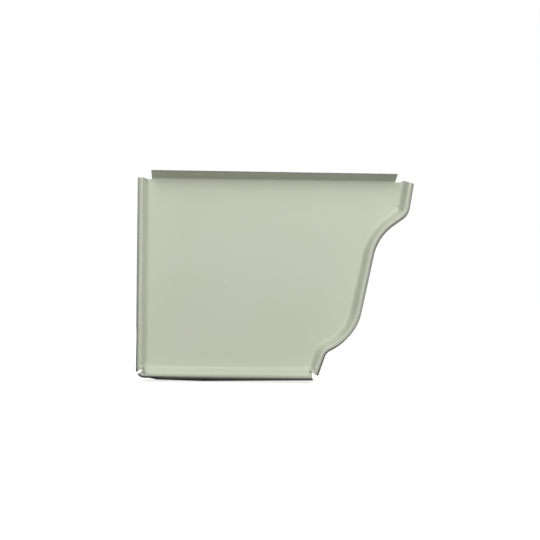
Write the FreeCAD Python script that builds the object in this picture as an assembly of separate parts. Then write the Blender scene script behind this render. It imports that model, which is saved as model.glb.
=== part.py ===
import FreeCAD, Part
import math
import os

from FreeCAD import Vector

# A left-hand end cap for an ogee-fronted gutter, folded from one painted aluminium sheet.
#
# The frame is the gutter's own: X runs from the gutter's back to its front, Z is up, and +Y runs
# into the gutter. The origin is the lower back corner of the gutter's cut end, where it is seated
# in the cap: x = 0 is the inside face of the back leg, z = 0 the inside face of the bottom leg at
# its fold, and y = 0 the inside of the crest that the cut end stands against. The side that shows
# when the cap is fitted faces -Y. Sizes are in millimetres and angles in degrees.

# The sheet, and the inside radius of its tight folds
sheet = 0.6
fold_radius = 0.5

# The rim's section, from the panel out to the free edge of the leg
recess_depth = 5.0
wall_angle = 65.0
foot_radius = 1.5
crest_flat = 0.6
leg_depth = 9.4

# How far the bottom leg has sprung open: just clear of its back corner, which stays square,
# at its crown and at its front end
spring_back = 8.0
spring_crown = 11.0
spring_front = 6.0
spring_run = 9.0
crown_run = 31.0

# The gutter's outside profile: each corner is given by its run and rise from the one before
bottom_width = 84.3
knuckle_run = 4.4
knuckle_rise = 12.5
belly_run = 13.7
belly_rise = 6.6
cove_run = 9.9
cove_rise = 48.2
lip_run = 14.4
lip_rise = 10.4
lip_height = 15.6
lip_lean = 8.8

# The radii that round those corners, and the straight that the belly's arc leaves the knuckle's
knuckle_radius = 5.3
belly_straight = 0.2
cove_radius = 24.0
lip_radius = 7.6

# The two lower corners: the radius of the rim's edge, and of the panel inside it
rim_corner_radius = 3.5
panel_corner_radius = 1.8

# The flange that is folded forwards along the panel's top edge
flange_fold_back = 66.7
flange_fold_front = 70.4
flange_fold_radius = 0.8
flange_width = 6.9
fold_line_fall = 0.15
flange_gap_back = 0.8
flange_gap_front = 3.1
flange_end_slant = 13.0

# The relief notches beside the flange, and the rim's top ends beyond them
notch_drop = 0.1
notch_width_back = 2.1
notch_width_front = 2.5
back_rim_rise = 0.5
back_rim_flat = 2.2
front_rim_step = 1.0
front_rim_rise = 0.5
front_rim_fall = 18.0

# The slot that splits the rim at the back corner, and the slanting end of the bottom leg
slot_run = 1.7
slot_rise = 2.85
slot_width = 1.0
slot_angle = 35.0
slot_flare = 2.0
dog_ear_length = 6.4
dog_ear_angle = 45.0

# The notch that splits the rim at the front corner, and how far its sides lean along Y
corner_notch_inset = 1.8
corner_notch_rise = 2.75
corner_notch_fall = 31.0
corner_notch_lean = 4.0

# Worked out from the sizes above
crest_start = fold_radius
crest_end = crest_start + crest_flat
wall_turn = math.radians(wall_angle)
bend_reach = fold_radius + foot_radius + sheet
wall_run = (recess_depth - bend_reach * (1 - math.cos(wall_turn))) / math.sin(wall_turn)
foot_reach = crest_end + bend_reach * math.sin(wall_turn) + wall_run * math.cos(wall_turn)
wall_corner_radius = foot_reach + panel_corner_radius
leg_run = leg_depth - sheet - fold_radius
lip_corner_height = knuckle_rise + belly_rise + cove_rise + lip_rise
panel_height = lip_corner_height + lip_height
blank_height = panel_height + max(back_rim_rise, front_rim_rise) + sheet
lean_slope = math.tan(math.radians(lip_lean))
cut_room = 4 * leg_depth
right_angle = 90


def left_of(direction):
    """The inward side of a direction of travel, for a route that runs anticlockwise."""
    return Vector(-direction.z, 0, direction.x)


def turned(point, centre, turn):
    """A point carried anticlockwise round a centre by an angle in radians."""
    arm = point - centre
    return centre + arm * math.cos(turn) + left_of(arm) * math.sin(turn)


def turn_at(before, corner, after):
    """The directions into and out of a corner, and the turn between them in radians."""
    arriving = (corner - before).normalize()
    leaving = (after - corner).normalize()
    turn = math.atan2(leaving.dot(left_of(arriving)), arriving.dot(leaving))
    return arriving, leaving, turn


def rounded_route(corners, radii):
    """Straight runs and tangent arcs through corners, as (start, end, centre, turn) steps."""
    steps = []
    here = corners[0]
    for before, corner, after, radius in zip(corners, corners[1:], corners[2:], radii):
        arriving, leaving, turn = turn_at(before, corner, after)
        setback = radius * math.tan(abs(turn) / 2)
        arc_start = corner - arriving * setback
        arc_end = corner + leaving * setback
        centre = arc_start + left_of(arriving) * math.copysign(radius, turn)
        steps.append((here, arc_start, None, 0))
        steps.append((arc_start, arc_end, centre, turn))
        here = arc_end
    steps.append((here, corners[-1], None, 0))
    return steps


def profile_route(corner_radius):
    """The gutter's outside profile, from the top of its back round to the top of its lip."""
    moves = [(0, -blank_height), (bottom_width, 0), (knuckle_run, knuckle_rise),
             (belly_run, belly_rise), (cove_run, cove_rise), (lip_run, lip_rise)]
    corners = [Vector(0, 0, blank_height)]
    for run, rise in moves:
        corners.append(corners[-1] + Vector(run, 0, rise))
    lip_length = blank_height - corners[-1].z
    corners.append(corners[-1] + Vector(lip_length * lean_slope, 0, lip_length))
    belly_radius = fitted_belly_radius(*corners[2:6])
    radii = [corner_radius, corner_radius, knuckle_radius, belly_radius, cove_radius, lip_radius]
    return rounded_route(corners, radii)


def fitted_belly_radius(front_corner, knuckle, belly, cove):
    """The radius of the belly, whose arc starts just after the knuckle's has ended."""
    knuckle_turn = turn_at(front_corner, knuckle, belly)[2]
    belly_turn = turn_at(knuckle, belly, cove)[2]
    taken = knuckle_radius * math.tan(abs(knuckle_turn) / 2) + belly_straight
    return ((belly - knuckle).Length - taken) / math.tan(abs(belly_turn) / 2)


def halves(step):
    """An arc step cut at its middle."""
    start, end, centre, turn = step
    middle = turned(start, centre, turn / 2)
    return (start, middle, centre, turn / 2), (middle, end, centre, turn / 2)


def inward_at_start(step):
    """The inward normal where a step begins."""
    start, end, centre, turn = step
    if centre is None:
        return left_of((end - start).normalize())
    return (centre - start).normalize() * math.copysign(1, turn)


def swing(arm, angle):
    """A vector in a section's own plane, turned by an angle in radians."""
    across = Vector(-arm.y, arm.x, 0)
    return arm * math.cos(angle) + across * math.sin(angle)


def strip(start, heading, steps):
    """The section of a bent sheet, as a face in its own plane.

    The start is the middle of the sheet. A step is (length, 0) for a straight run or
    (inside radius, angle) for a bend, with angles positive to the left.
    """
    half = sheet / 2
    here = Vector(*start, 0)
    along = swing(Vector(1, 0, 0), math.radians(heading))
    left = []
    right = []
    for size, bend in steps:
        across = Vector(-along.y, along.x, 0)
        if bend == 0:
            there = here + along * size
            left.append(Part.makeLine(here + across * half, there + across * half))
            right.append(Part.makeLine(here - across * half, there - across * half))
            here = there
            continue
        centre = here + across * math.copysign(size + half, bend)
        turn = math.radians(bend)
        left.append(arc_about(here + across * half, centre, turn))
        right.append(arc_about(here - across * half, centre, turn))
        here = centre + swing(here - centre, turn)
        along = swing(along, turn)
    first = Part.makeLine(left[0].Vertexes[0].Point, right[0].Vertexes[0].Point)
    last = Part.makeLine(left[-1].Vertexes[-1].Point, right[-1].Vertexes[-1].Point)
    edges = Part.__sortEdges__(left + right + [first, last])
    return Part.Face(Part.Wire(edges))


def arc_about(point, centre, turn):
    """The arc that a point of a section draws round a centre."""
    arm = point - centre
    return Part.Arc(point, centre + swing(arm, turn / 2), centre + swing(arm, turn)).toShape()


def placed(section, point, inward):
    """A section stood at a point, with its first axis inward and its second along Y."""
    frame = FreeCAD.Matrix(inward.x, 0, -inward.z, point.x,
                           0, 1, 0, point.y,
                           inward.z, 0, inward.x, point.z,
                           0, 0, 0, 1)
    standing = section.copy()
    standing.Placement = FreeCAD.Placement(frame)
    return standing


def swept(section, route):
    """A section carried along a route: extruded on its runs and revolved round its arcs."""
    solids = []
    for step in route:
        start, end, centre, turn = step
        standing = placed(section, start, inward_at_start(step))
        if centre is None:
            solids.append(standing.extrude(end - start))
        else:
            axis = Vector(0, -math.copysign(1, turn), 0)
            solids.append(standing.revolve(centre, axis, math.degrees(abs(turn))))
    return solids


def inset_plate(route, inset, front):
    """A plate of the sheet that fills a route from an inset inwards, its front at a depth."""
    edges = []
    for step in route:
        start, end, centre, turn = step
        first = start + inward_at_start(step) * inset
        if centre is None:
            edges.append(Part.makeLine(first, first + end - start))
        else:
            middle = turned(first, centre, turn / 2)
            edges.append(Part.Arc(first, middle, turned(first, centre, turn)).toShape())
    ends = (edges[-1].Vertexes[-1].Point, edges[0].Vertexes[0].Point)
    edges.append(Part.makeLine(*ends))
    face = Part.Face(Part.Wire(edges))
    face.translate(Vector(0, front, 0))
    return face.extrude(Vector(0, sheet, 0))


def through_cut(points, lean=0):
    """A cutter with a given (x, z) outline at y = 0, right through the part along Y.

    Its sides lean towards +X as they go in, by an angle in degrees.
    """
    half = Vector(math.tan(math.radians(lean)), 1, 0) * (cut_room / 2)
    corners = [Vector(x, 0, z) - half for x, z in points]
    face = Part.Face(Part.makePolygon(corners + corners[:1]))
    return face.extrude(half * 2)


def lofted(section, point, other_section, other_point, inward):
    """A strip that changes evenly from one section to another, both stood the same way."""
    ends = [placed(section, point, inward), placed(other_section, other_point, inward)]
    return Part.makeLoft([end.OuterWire for end in ends], True, True)


def leg_section(spring=0):
    """The section of a leg that is folded back square, or sprung open by an angle."""
    fold = right_angle - spring
    return strip((crest_start, -sheet / 2), 2 * right_angle, [(fold_radius, -fold), (leg_run, 0)])


def make_legs():
    """The outer legs, folded back over the gutter and parted at the lower corners."""
    back, back_corner, bottom, front_corner, *ogee = profile_route(rim_corner_radius)
    back_halves = halves(back_corner)
    front_halves = halves(front_corner)
    legs = swept(leg_section(), [back, back_halves[0]])
    legs += swept(leg_section(), [front_halves[1], *ogee])
    dog_ear = make_dog_ear()
    bottom_leg = swept(leg_section(), [back_halves[1]])
    bottom_leg += make_sprung_run(bottom[0], bottom[1])
    bottom_leg += swept(leg_section(spring_front), [front_halves[0]])
    return legs + [piece.cut(dog_ear) for piece in bottom_leg]


def make_sprung_run(start, end):
    """The bottom leg's straight run, which has sprung open most at its crown."""
    up = Vector(0, 0, 1)
    points = [start, Vector(spring_run, 0, 0), Vector(crown_run, 0, 0), end]
    springs = [0, spring_back, spring_crown, spring_front]
    stations = [(leg_section(spring), point) for spring, point in zip(springs, points)]
    return [lofted(*near, *far, up) for near, far in zip(stations, stations[1:])]


def make_dog_ear():
    """The cutter for the slanting back end of the bottom leg."""
    leg_end = leg_depth - sheet
    reach = dog_ear_length + rim_corner_radius
    drop = reach * math.tan(math.radians(dog_ear_angle))
    outline = [(dog_ear_length, leg_end), (dog_ear_length - reach, leg_end - drop),
               (dog_ear_length - reach, leg_end + sheet), (dog_ear_length, leg_end + sheet)]
    corners = [Vector(x, y, -leg_depth) for x, y in outline]
    face = Part.Face(Part.makePolygon(corners + corners[:1]))
    return face.extrude(Vector(0, 0, 2 * leg_depth))


def make_crest():
    """The flat of the crest, which widens at the lower corners where the rim is split."""
    outer = inset_plate(profile_route(rim_corner_radius), crest_start, -sheet)
    inner = inset_plate(profile_route(wall_corner_radius), crest_end, -sheet)
    return outer.cut(inner)


def make_wall():
    """The drawn wall, from the crest down to its foot round the panel."""
    bends = [(fold_radius, wall_angle), (wall_run, 0), (foot_radius, -wall_angle)]
    section = strip((crest_end, -sheet / 2), 0, bends)
    return swept(section, profile_route(wall_corner_radius))


def make_panel():
    """The flat recessed panel."""
    return inset_plate(profile_route(wall_corner_radius), foot_reach, recess_depth - sheet)


def flange_ends():
    """The x of the flange's two ends, each a gap in from the foot of the wall."""
    lip_corner = bottom_width + knuckle_run + belly_run + cove_run + lip_run
    lip_face = lip_corner + lip_height * lean_slope
    lip_foot = lip_face - foot_reach / math.cos(math.radians(lip_lean))
    return foot_reach + flange_gap_back, lip_foot - flange_gap_front


def make_flange():
    """The plain flange along the top edge, folded towards the side that shows."""
    start, end = flange_ends()
    slant = math.tan(math.radians(flange_end_slant))
    far = end + flange_width * slant
    bottom = fold_line(end)
    top = panel_height + flange_width
    flange = lofted(flange_section(flange_fold_back), Vector(start, 0, fold_line(start)),
                    flange_section(flange_fold_front), Vector(far, 0, fold_line(far)),
                    Vector(0, 0, 1))
    slanting_end = through_cut([(end, bottom - sheet), (end, bottom),
                                (end + (top - bottom) * slant, top),
                                (far + sheet, top), (far + sheet, bottom - sheet)])
    return flange.cut(slanting_end)


def flange_section(fold):
    """The section of the flange, from the panel's edge to its free edge."""
    middle = recess_depth - sheet / 2
    return strip((0, middle), 0, [(flange_fold_radius, -fold), (flange_width, 0)])


def fold_line(x):
    """The height of the flange's fold line, which falls a little towards the front."""
    start, end = flange_ends()
    return panel_height - (x - start) * math.tan(math.radians(fold_line_fall))


def make_top_trim():
    """The cutter for the rim's top ends, the relief notches and the flange's fold line."""
    start, end = flange_ends()
    back_notch = fold_line(start) - notch_drop
    front_notch = fold_line(end) - notch_drop
    back_top = panel_height + back_rim_rise
    front_top = panel_height + front_rim_rise
    front_notch_end = end + notch_width_front
    peak = front_notch_end + front_rim_step
    outside = peak + cut_room
    fall = cut_room * math.tan(math.radians(front_rim_fall))
    above = blank_height + cut_room
    return through_cut([
        (-cut_room, back_top), (back_rim_flat, back_top),
        (start - notch_width_back, back_notch), (start, back_notch), (start, fold_line(start)),
        (end, fold_line(end)), (end, front_notch), (front_notch_end, front_notch),
        (peak, front_top), (outside, front_top - fall), (outside, above), (-cut_room, above)])


def make_corner_slot():
    """The cutter for the slot that splits the rim at the back corner."""
    centre = Vector(slot_run, 0, slot_rise)
    outward = Vector(-math.cos(math.radians(slot_angle)), 0, -math.sin(math.radians(slot_angle)))
    across = left_of(outward)
    half = slot_width / 2
    mouth_half = half + cut_room * math.tan(math.radians(slot_flare))
    mouth = centre + outward * cut_room
    near_side = centre + across * half
    far_side = centre - across * half
    tip = Part.Arc(near_side, centre - outward * half, far_side).toShape()
    far_mouth = mouth - across * mouth_half
    near_mouth = mouth + across * mouth_half
    sides = [Part.makeLine(far_side, far_mouth), Part.makeLine(far_mouth, near_mouth),
             Part.makeLine(near_mouth, near_side)]
    face = Part.Face(Part.Wire([tip] + sides))
    face.translate(Vector(0, -cut_room / 2, 0))
    return face.extrude(Vector(0, cut_room, 0))


def make_corner_notch():
    """The cutter for the open notch that splits the rim at the front corner."""
    x = bottom_width - corner_notch_inset
    z = corner_notch_rise
    fall = cut_room * math.tan(math.radians(corner_notch_fall))
    outline = [(x, z), (x, z - cut_room), (x + cut_room, z - cut_room), (x + cut_room, z - fall)]
    return through_cut(outline, corner_notch_lean)


def make_end_cap():
    """The whole folded sheet as one solid."""
    pieces = make_legs() + make_wall() + [make_crest(), make_panel()]
    tray = pieces[0].multiFuse(pieces[1:])
    cutters = [make_top_trim(), make_corner_slot(), make_corner_notch()]
    trimmed = tray.cut(cutters[0].multiFuse(cutters[1:]))
    return trimmed.fuse(make_flange()).removeSplitter()


os.makedirs("parts", exist_ok=True)
end_cap = make_end_cap()
end_cap.exportStep("parts/end_cap.step")

box = end_cap.BoundBox
print("end_cap: valid", end_cap.isValid(), "solids", len(end_cap.Solids), "faces", len(end_cap.Faces))
print("volume", round(end_cap.Volume, 1), "box", [round(v, 2) for v in
      (box.XMin, box.YMin, box.ZMin, box.XMax, box.YMax, box.ZMax)])
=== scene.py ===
# %% [markdown]
# # A gutter end cap, folded from one painted sheet
#
# The part closes the left-hand end of an ogee-fronted rain gutter. It is a single piece of thin
# aluminium, painted on the coil before it was pressed: a flat recessed panel, a sloping wall round
# it, a narrow crest that stands proud, and legs that fold back over the gutter. A plain flange is
# bent forwards along the top edge.
#
# The packed CAD model is the frame for everything here: metres, X from the gutter's back to its
# front, Z up, and the side that shows faces -Y. The cells below dress that frame. They build the
# sheet again with enough small faces to carry its press marks, give it thickness and a finish, and
# then light it and aim a camera at it.

# %% Load the frame
import math

import bmesh
import bpy
import numpy as np
from mathutils import Matrix, Vector
from mathutils.geometry import delaunay_2d_cdt


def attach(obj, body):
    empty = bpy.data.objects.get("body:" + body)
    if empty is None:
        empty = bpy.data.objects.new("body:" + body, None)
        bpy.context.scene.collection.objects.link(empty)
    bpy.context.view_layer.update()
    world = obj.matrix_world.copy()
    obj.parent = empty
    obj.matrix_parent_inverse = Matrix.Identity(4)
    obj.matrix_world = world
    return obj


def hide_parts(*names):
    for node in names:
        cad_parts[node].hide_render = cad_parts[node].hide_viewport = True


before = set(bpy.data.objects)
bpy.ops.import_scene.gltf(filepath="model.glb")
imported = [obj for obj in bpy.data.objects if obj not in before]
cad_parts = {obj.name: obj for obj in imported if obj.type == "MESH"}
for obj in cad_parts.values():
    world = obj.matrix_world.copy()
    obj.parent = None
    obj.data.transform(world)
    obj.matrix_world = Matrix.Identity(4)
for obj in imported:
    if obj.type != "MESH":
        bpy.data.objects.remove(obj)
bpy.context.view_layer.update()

# %% [markdown]
# ## The sizes
#
# These are the CAD's own sizes, written once more because a scene reads nothing but the frame.
# Lengths are typed in millimetres and angles in degrees, as on a drawing, and a lengths table is
# turned into metres in one place. Keeping the drawing's numbers makes it easy to see that both
# models describe the same sheet.

# %% Sizes of the sheet and of its section
MM = 0.001

SHEET = 0.6 * MM
FOLD_RADIUS = 0.5 * MM
FOOT_RADIUS = 1.5 * MM
CREST_FLAT = 0.6 * MM
LEG_DEPTH = 9.4 * MM
RECESS_DEPTH = 5.0 * MM
WALL_ANGLE = math.radians(65)

CREST_START = FOLD_RADIUS
CREST_END = CREST_START + CREST_FLAT
HALF_TURN = math.tan(WALL_ANGLE / 2)
WALL_RUN = RECESS_DEPTH / math.tan(WALL_ANGLE)
FOOT_REACH = CREST_END + (FOLD_RADIUS + FOOT_RADIUS + SHEET) * HALF_TURN + WALL_RUN
LEG_RUN = LEG_DEPTH - SHEET - FOLD_RADIUS
PANEL_DEPTH = RECESS_DEPTH - SHEET / 2

print("wall foot, mm in from the leg:", round(FOOT_REACH / MM, 3))

# %% Sizes of the outline
# how far the bottom and each line of the ogee go to the front and up, in mm
BOTTOM_WIDTH = 84.3
OGEE_MOVES = [(BOTTOM_WIDTH, 0), (4.4, 12.5), (13.7, 6.6), (9.9, 48.2), (14.4, 10.4)]
# the radii of its corners, in order; the belly's arc leaves just 0.2 mm of the straight before it
OGEE_RADII = {"knuckle": 5.3 * MM, "belly": 25.895 * MM, "cove": 24.0 * MM, "lip": 7.6 * MM}
RIM_CORNER = 3.5 * MM
PANEL_CORNER = 1.8 * MM
WALL_CORNER = FOOT_REACH + PANEL_CORNER
LIP_HEIGHT = 15.6 * MM
LIP_LEAN = math.radians(8.8)
LIP_SLOPE = math.tan(LIP_LEAN)
RIM_RISE = 0.5 * MM

PANEL_HEIGHT = sum(rise for run, rise in OGEE_MOVES) * MM + LIP_HEIGHT
RIM_TOP = PANEL_HEIGHT + RIM_RISE
BLANK_HEIGHT = RIM_TOP + SHEET

print("panel height, mm:", round(PANEL_HEIGHT / MM, 2))

# %% [markdown]
# ## The route of the rim
#
# The press bends the rim along the gutter's outline. A drawing gives such an outline as corners
# with a radius at each one, so the route is made the same way: straight runs joined by arcs that
# touch them. The crest's outer edge turns the lower corners tightly and the drawn wall turns them
# wide, so there are two routes. Both have the same runs and arcs, and both are sampled at the same
# shares of each, so that point number n of one always faces point number n of the other.

# %% Straight runs and tangent arcs
def left_of(way):
    """The inward side of a direction of travel, for a route that goes anticlockwise."""
    return Vector((-way.y, way.x))


def carried(point, centre, turn):
    """A flat point carried anticlockwise round a centre."""
    arm = point - centre
    return centre + arm * math.cos(turn) + left_of(arm) * math.sin(turn)


def outline_corners():
    """The gutter's outline in the XZ plane, from the top of its back to the top of its lip."""
    corners = [Vector((0, BLANK_HEIGHT)), Vector((0, 0))]
    for run, rise in OGEE_MOVES:
        corners.append(corners[-1] + Vector((run, rise)) * MM)
    lip = BLANK_HEIGHT - corners[-1].y
    corners.append(corners[-1] + Vector((lip * LIP_SLOPE, lip)))
    return corners


def rounded_route(corner_radius):
    """The outline as steps of (start, end, centre, turn), with no centre on a straight run."""
    corners = outline_corners()
    radii = [corner_radius, corner_radius, *OGEE_RADII.values()]
    steps = []
    here = corners[0]
    for before, corner, after, radius in zip(corners, corners[1:], corners[2:], radii):
        arriving = (corner - before).normalized()
        leaving = (after - corner).normalized()
        turn = math.atan2(leaving.dot(left_of(arriving)), arriving.dot(leaving))
        setback = radius * math.tan(abs(turn) / 2)
        arc_start = corner - arriving * setback
        arc_end = corner + leaving * setback
        centre = arc_start + left_of(arriving) * math.copysign(radius, turn)
        steps += [(here, arc_start, None, 0), (arc_start, arc_end, centre, turn)]
        here = arc_end
    steps.append((here, corners[-1], None, 0))
    return steps


rim_route = rounded_route(RIM_CORNER)
wall_route = rounded_route(WALL_CORNER)
print("steps in the route:", len(rim_route))

# %% Matching stations along both routes
COARSE = 1.1 * MM
FINE = 0.3 * MM
FINE_LENGTH = 6 * MM
FEWEST_ARC_STEPS = 8
BACK, BACK_CORNER, BOTTOM, FRONT_CORNER, KNUCKLE_SIDE = range(5)
LIP = len(rim_route) - 1
# whether a run starts and ends with close stations
FINE_ENDS = {BACK: (1, 1), BOTTOM: (1, 1), KNUCKLE_SIDE: (1, 0), LIP: (1, 1)}


def shares_of_run(length, fine_start, fine_end):
    """Shares from 0 up to 1 along a run, close together at the ends that carry press marks."""
    here = 0.0
    shares = []
    while here < length - FINE / 2:
        shares.append(here / length)
        near_start = fine_start and here < FINE_LENGTH
        near_end = fine_end and here > length - FINE_LENGTH
        here += FINE if near_start or near_end else COARSE
    return shares


def shares_of_arc(radius, turn, is_corner):
    """Evenly spaced shares of an arc, closest together at the two square corners."""
    spacing = FINE if is_corner else COARSE / 2
    count = max(FEWEST_ARC_STEPS, round(abs(turn) * radius / spacing))
    return [n / count for n in range(count)]


def station(step, share):
    """The point and inward normal at a share of a step."""
    start, end, centre, turn = step
    if centre is None:
        return start.lerp(end, share), left_of((end - start).normalized())
    point = carried(start, centre, turn * share)
    return point, (centre - point).normalized() * math.copysign(1, turn)


def matched_stations():
    """(step number, share, rim point, rim inward, wall point, wall inward) along the routes."""
    rows = []
    for number, (rim_step, wall_step) in enumerate(zip(rim_route, wall_route)):
        start, end, centre, turn = rim_step
        if centre is None:
            shares = shares_of_run((end - start).length, *FINE_ENDS.get(number, (0, 0)))
        else:
            wall_radius = (wall_step[0] - wall_step[2]).length
            shares = shares_of_arc(wall_radius, turn, number in (BACK_CORNER, FRONT_CORNER))
        rows += [(number, s, *station(rim_step, s), *station(wall_step, s)) for s in shares]
    rows.append((LIP, 1.0, *station(rim_route[LIP], 1.0), *station(wall_route[LIP], 1.0)))
    return rows


stations = matched_stations()
print("stations along the rim:", len(stations))

# %% [markdown]
# ## What changes along the rim
#
# In the photo the bottom leg hangs a little below square, most at about a third of its length,
# which shows as a dark band under the crest. Its back end is cut off on a slant so that the two
# legs do not foul each other at the corner. The outer fold carries a grey line, partly paint
# strained by the bend and partly painted shade, with more painted shade on the sprung bottom leg;
# it is darker in some places than in others. All this changes slowly along the rim, so each station
# simply carries three numbers: an opening angle, a share of the full leg and a strain with its
# painted shade. They are read from short tables of (place, value), with straight lines between.

# %% Opening angle and leg share at each station
# x in mm and degrees of opening
SPRING_ALONG_BOTTOM = [(3.5, 0.0), (9.0, 8.0), (31.0, 11.0), (81.0, 6.0)]
DOG_EAR_LENGTH = 6.4 * MM
CORNER_MIDDLE = 0.5


def read_off(table, place):
    """The value that a table of (mm, value) gives for a place in metres."""
    places = [mm * MM for mm, value in table]
    return float(np.interp(place, places, [value for mm, value in table]))


def opening(number, share, x):
    """The angle by which the leg has sprung open at a station, in radians."""
    if number == BOTTOM or (number == FRONT_CORNER and share < CORNER_MIDDLE):
        return math.radians(read_off(SPRING_ALONG_BOTTOM, x))
    return 0.0


def leg_share(number, share, x):
    """How much of the leg's straight run is left at a station."""
    slanted = number == BOTTOM or (number == BACK_CORNER and share >= CORNER_MIDDLE)
    if not slanted or x > DOG_EAR_LENGTH:
        return 1.0
    return 1.0 - (DOG_EAR_LENGTH - x) / LEG_RUN


openings = [opening(n, s, rim.x) for n, s, rim, *rest in stations]
leg_shares = [leg_share(n, s, rim.x) for n, s, rim, *rest in stations]
print("widest opening, degrees:", round(math.degrees(max(openings)), 1))
print("least share of the leg:", round(min(leg_shares), 2))

# %% How much strain and painted shade the outer fold's paint carries at each station
# height or x in mm, and the strain and painted shade there, from 0 for sound paint to 1 for grey
STRAIN_AND_SHADE_UP_BACK = [(0, 0.68), (25, 0.63), (40, 0.53), (65, 0.52), (80, 0.40), (92, 0.32)]
STRAIN_AND_SHADE_UP_OGEE = [(0, 0.80), (14, 0.79), (19, 0.36), (31, 0.38), (40, 0.52),
                  (58, 0.54), (63, 0.65), (76, 0.67), (81, 0.45), (92, 0.49)]
STRAIN_AND_SHADE_ALONG_BOTTOM = [(2, 0.85), (4, 1.0), (8, 1.0), (14, 0.75), (24, 0.65), (45, 0.52)]


def fold_strain_and_shade(number, x, z):
    """How much strain and painted shade the outer fold's paint carries at a station."""
    if number == BACK:
        return read_off(STRAIN_AND_SHADE_UP_BACK, z)
    if number > FRONT_CORNER:
        return read_off(STRAIN_AND_SHADE_UP_OGEE, z)
    return read_off(STRAIN_AND_SHADE_ALONG_BOTTOM, x)


fold_strains_and_shades = [fold_strain_and_shade(n, rim.x, rim.y) for n, s, rim, *rest in stations]
print("strain from", round(min(fold_strains_and_shades), 2), "to", round(max(fold_strains_and_shades), 2))

# %% [markdown]
# ## Sums with sockets
#
# Node trees are easier to read as sums than as lists of links. The class below wraps one output
# socket. Adding, subtracting, multiplying or dividing it makes the Math node and the links, and any
# other node comes from one method that takes the node's type, its settings and what goes into it.
# It serves geometry trees and materials alike.

# %% A socket that makes nodes
def pick(sockets, key):
    """A socket by number, or the first one in use that has a name."""
    if isinstance(key, int):
        return sockets[key]
    return next(s for s in sockets if s.name == key and s.enabled)


def feed(node, inputs):
    """Types values into a node's inputs, or links wires to them."""
    for key, value in inputs.items():
        slot = pick(node.inputs, key)
        if isinstance(value, Wire):
            value.tree.links.new(value.socket, slot)
        else:
            slot.default_value = value


class Wire:
    """An output socket that takes part in sums."""

    def __init__(self, tree, socket):
        self.tree = tree
        self.socket = socket

    def node(self, kind, settings, inputs, output=0):
        """A new node in the same tree; settings first, then values or wires for its inputs."""
        made = self.tree.nodes.new(kind)
        for name, value in settings.items():
            setattr(made, name, value)
        feed(made, inputs)
        return Wire(self.tree, pick(made.outputs, output))

    def output(self, name):
        """Another output of the same node."""
        return Wire(self.tree, pick(self.socket.node.outputs, name))

    def math(self, operation, *others):
        """A Math node on this number and any others."""
        values = dict(enumerate((self, *others)))
        return self.node("ShaderNodeMath", {"operation": operation}, values)

    def math_after(self, operation, other):
        """A Math node on another number and this one, in that order."""
        return self.node("ShaderNodeMath", {"operation": operation}, {0: other, 1: self})

    def clamped(self):
        """The value held between 0 and 1."""
        return self.node("ShaderNodeClamp", {}, {0: self})

    def smooth(self, low, high):
        """0 below low, 1 above high and an easy curve between them."""
        settings = {"interpolation_type": "SMOOTHSTEP"}
        return self.node("ShaderNodeMapRange", settings,
                         {"Value": self, "From Min": low, "From Max": high})

    def vector_mix(self, first, second):
        """The first vector where this is 0 and the second where it is 1."""
        return self.node("ShaderNodeMix", {"data_type": "VECTOR"},
                         {"Factor": self, "A": first, "B": second}, "Result")

    def colour_mix(self, first, second):
        """The first colour where this is 0 and the second where it is 1."""
        return self.node("ShaderNodeMix", {"data_type": "RGBA"},
                         {"Factor": self, "A": first, "B": second}, "Result")

    def vector_math(self, operation, inputs, output=0):
        """A Vector Math node on this vector."""
        settings = {"operation": operation}
        return self.node("ShaderNodeVectorMath", settings, {0: self, **inputs}, output)

    def parts(self, *names):
        """The named parts of this vector, as numbers."""
        split = self.node("ShaderNodeSeparateXYZ", {}, {0: self})
        return [split.output(name) for name in names]

    def vector(self, **parts):
        """A vector with these parts, in the same tree."""
        return self.node("ShaderNodeCombineXYZ", {}, parts)


print("a wire can make:", [name for name in vars(Wire) if not name.startswith("_")])

# %% Python's signs, for sums with sockets
SUMS = {"add": "ADD", "sub": "SUBTRACT", "mul": "MULTIPLY", "truediv": "DIVIDE"}


def add_sum(name, operation):
    """Lets one of Python's signs make a Math node, with the wire on either side of the sign."""
    setattr(Wire, f"__{name}__", lambda wire, other: wire.math(operation, other))
    setattr(Wire, f"__r{name}__", lambda wire, other: wire.math_after(operation, other))


for name, operation in SUMS.items():
    add_sum(name, operation)
Wire.__neg__ = lambda wire: wire.math("MULTIPLY", -1.0)
Wire.__lt__ = lambda wire, other: wire.math("LESS_THAN", other)
Wire.__gt__ = lambda wire, other: wire.math("GREATER_THAN", other)
print("sums that a wire can do:", list(SUMS.values()))

# %% From a tree to a plain mesh
def geometry_tree(name, sizes):
    """A new geometry tree with named inputs for its sizes, and its input wires by name."""
    tree = bpy.data.node_groups.new(name, "GeometryNodeTree")
    tree.is_modifier = True
    tree.interface.new_socket("Geometry", in_out="OUTPUT", socket_type="NodeSocketGeometry")
    tree.interface.new_socket("Geometry", in_out="INPUT", socket_type="NodeSocketGeometry")
    for size in sizes:
        tree.interface.new_socket(size, in_out="INPUT", socket_type="NodeSocketFloat")
    tree.interface.new_socket("Material", in_out="INPUT", socket_type="NodeSocketMaterial")
    group_input = tree.nodes.new("NodeGroupInput")
    wires = {s.name: Wire(tree, s) for s in group_input.outputs if s.name}
    return tree, wires


def close_tree(tree, geometry, material):
    """Ends a tree: real faces for any instances, then the material, then the output."""
    real = geometry.node("GeometryNodeRealizeInstances", {}, {"Geometry": geometry})
    dressed = real.node("GeometryNodeSetMaterial", {}, {"Geometry": real, "Material": material})
    tree.links.new(dressed.socket, tree.nodes.new("NodeGroupOutput").inputs[0])


def evaluated_mesh(thing):
    """The plain mesh that an object's modifiers make of it."""
    depsgraph = bpy.context.evaluated_depsgraph_get()
    return bpy.data.meshes.new_from_object(thing.evaluated_get(depsgraph))


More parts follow.
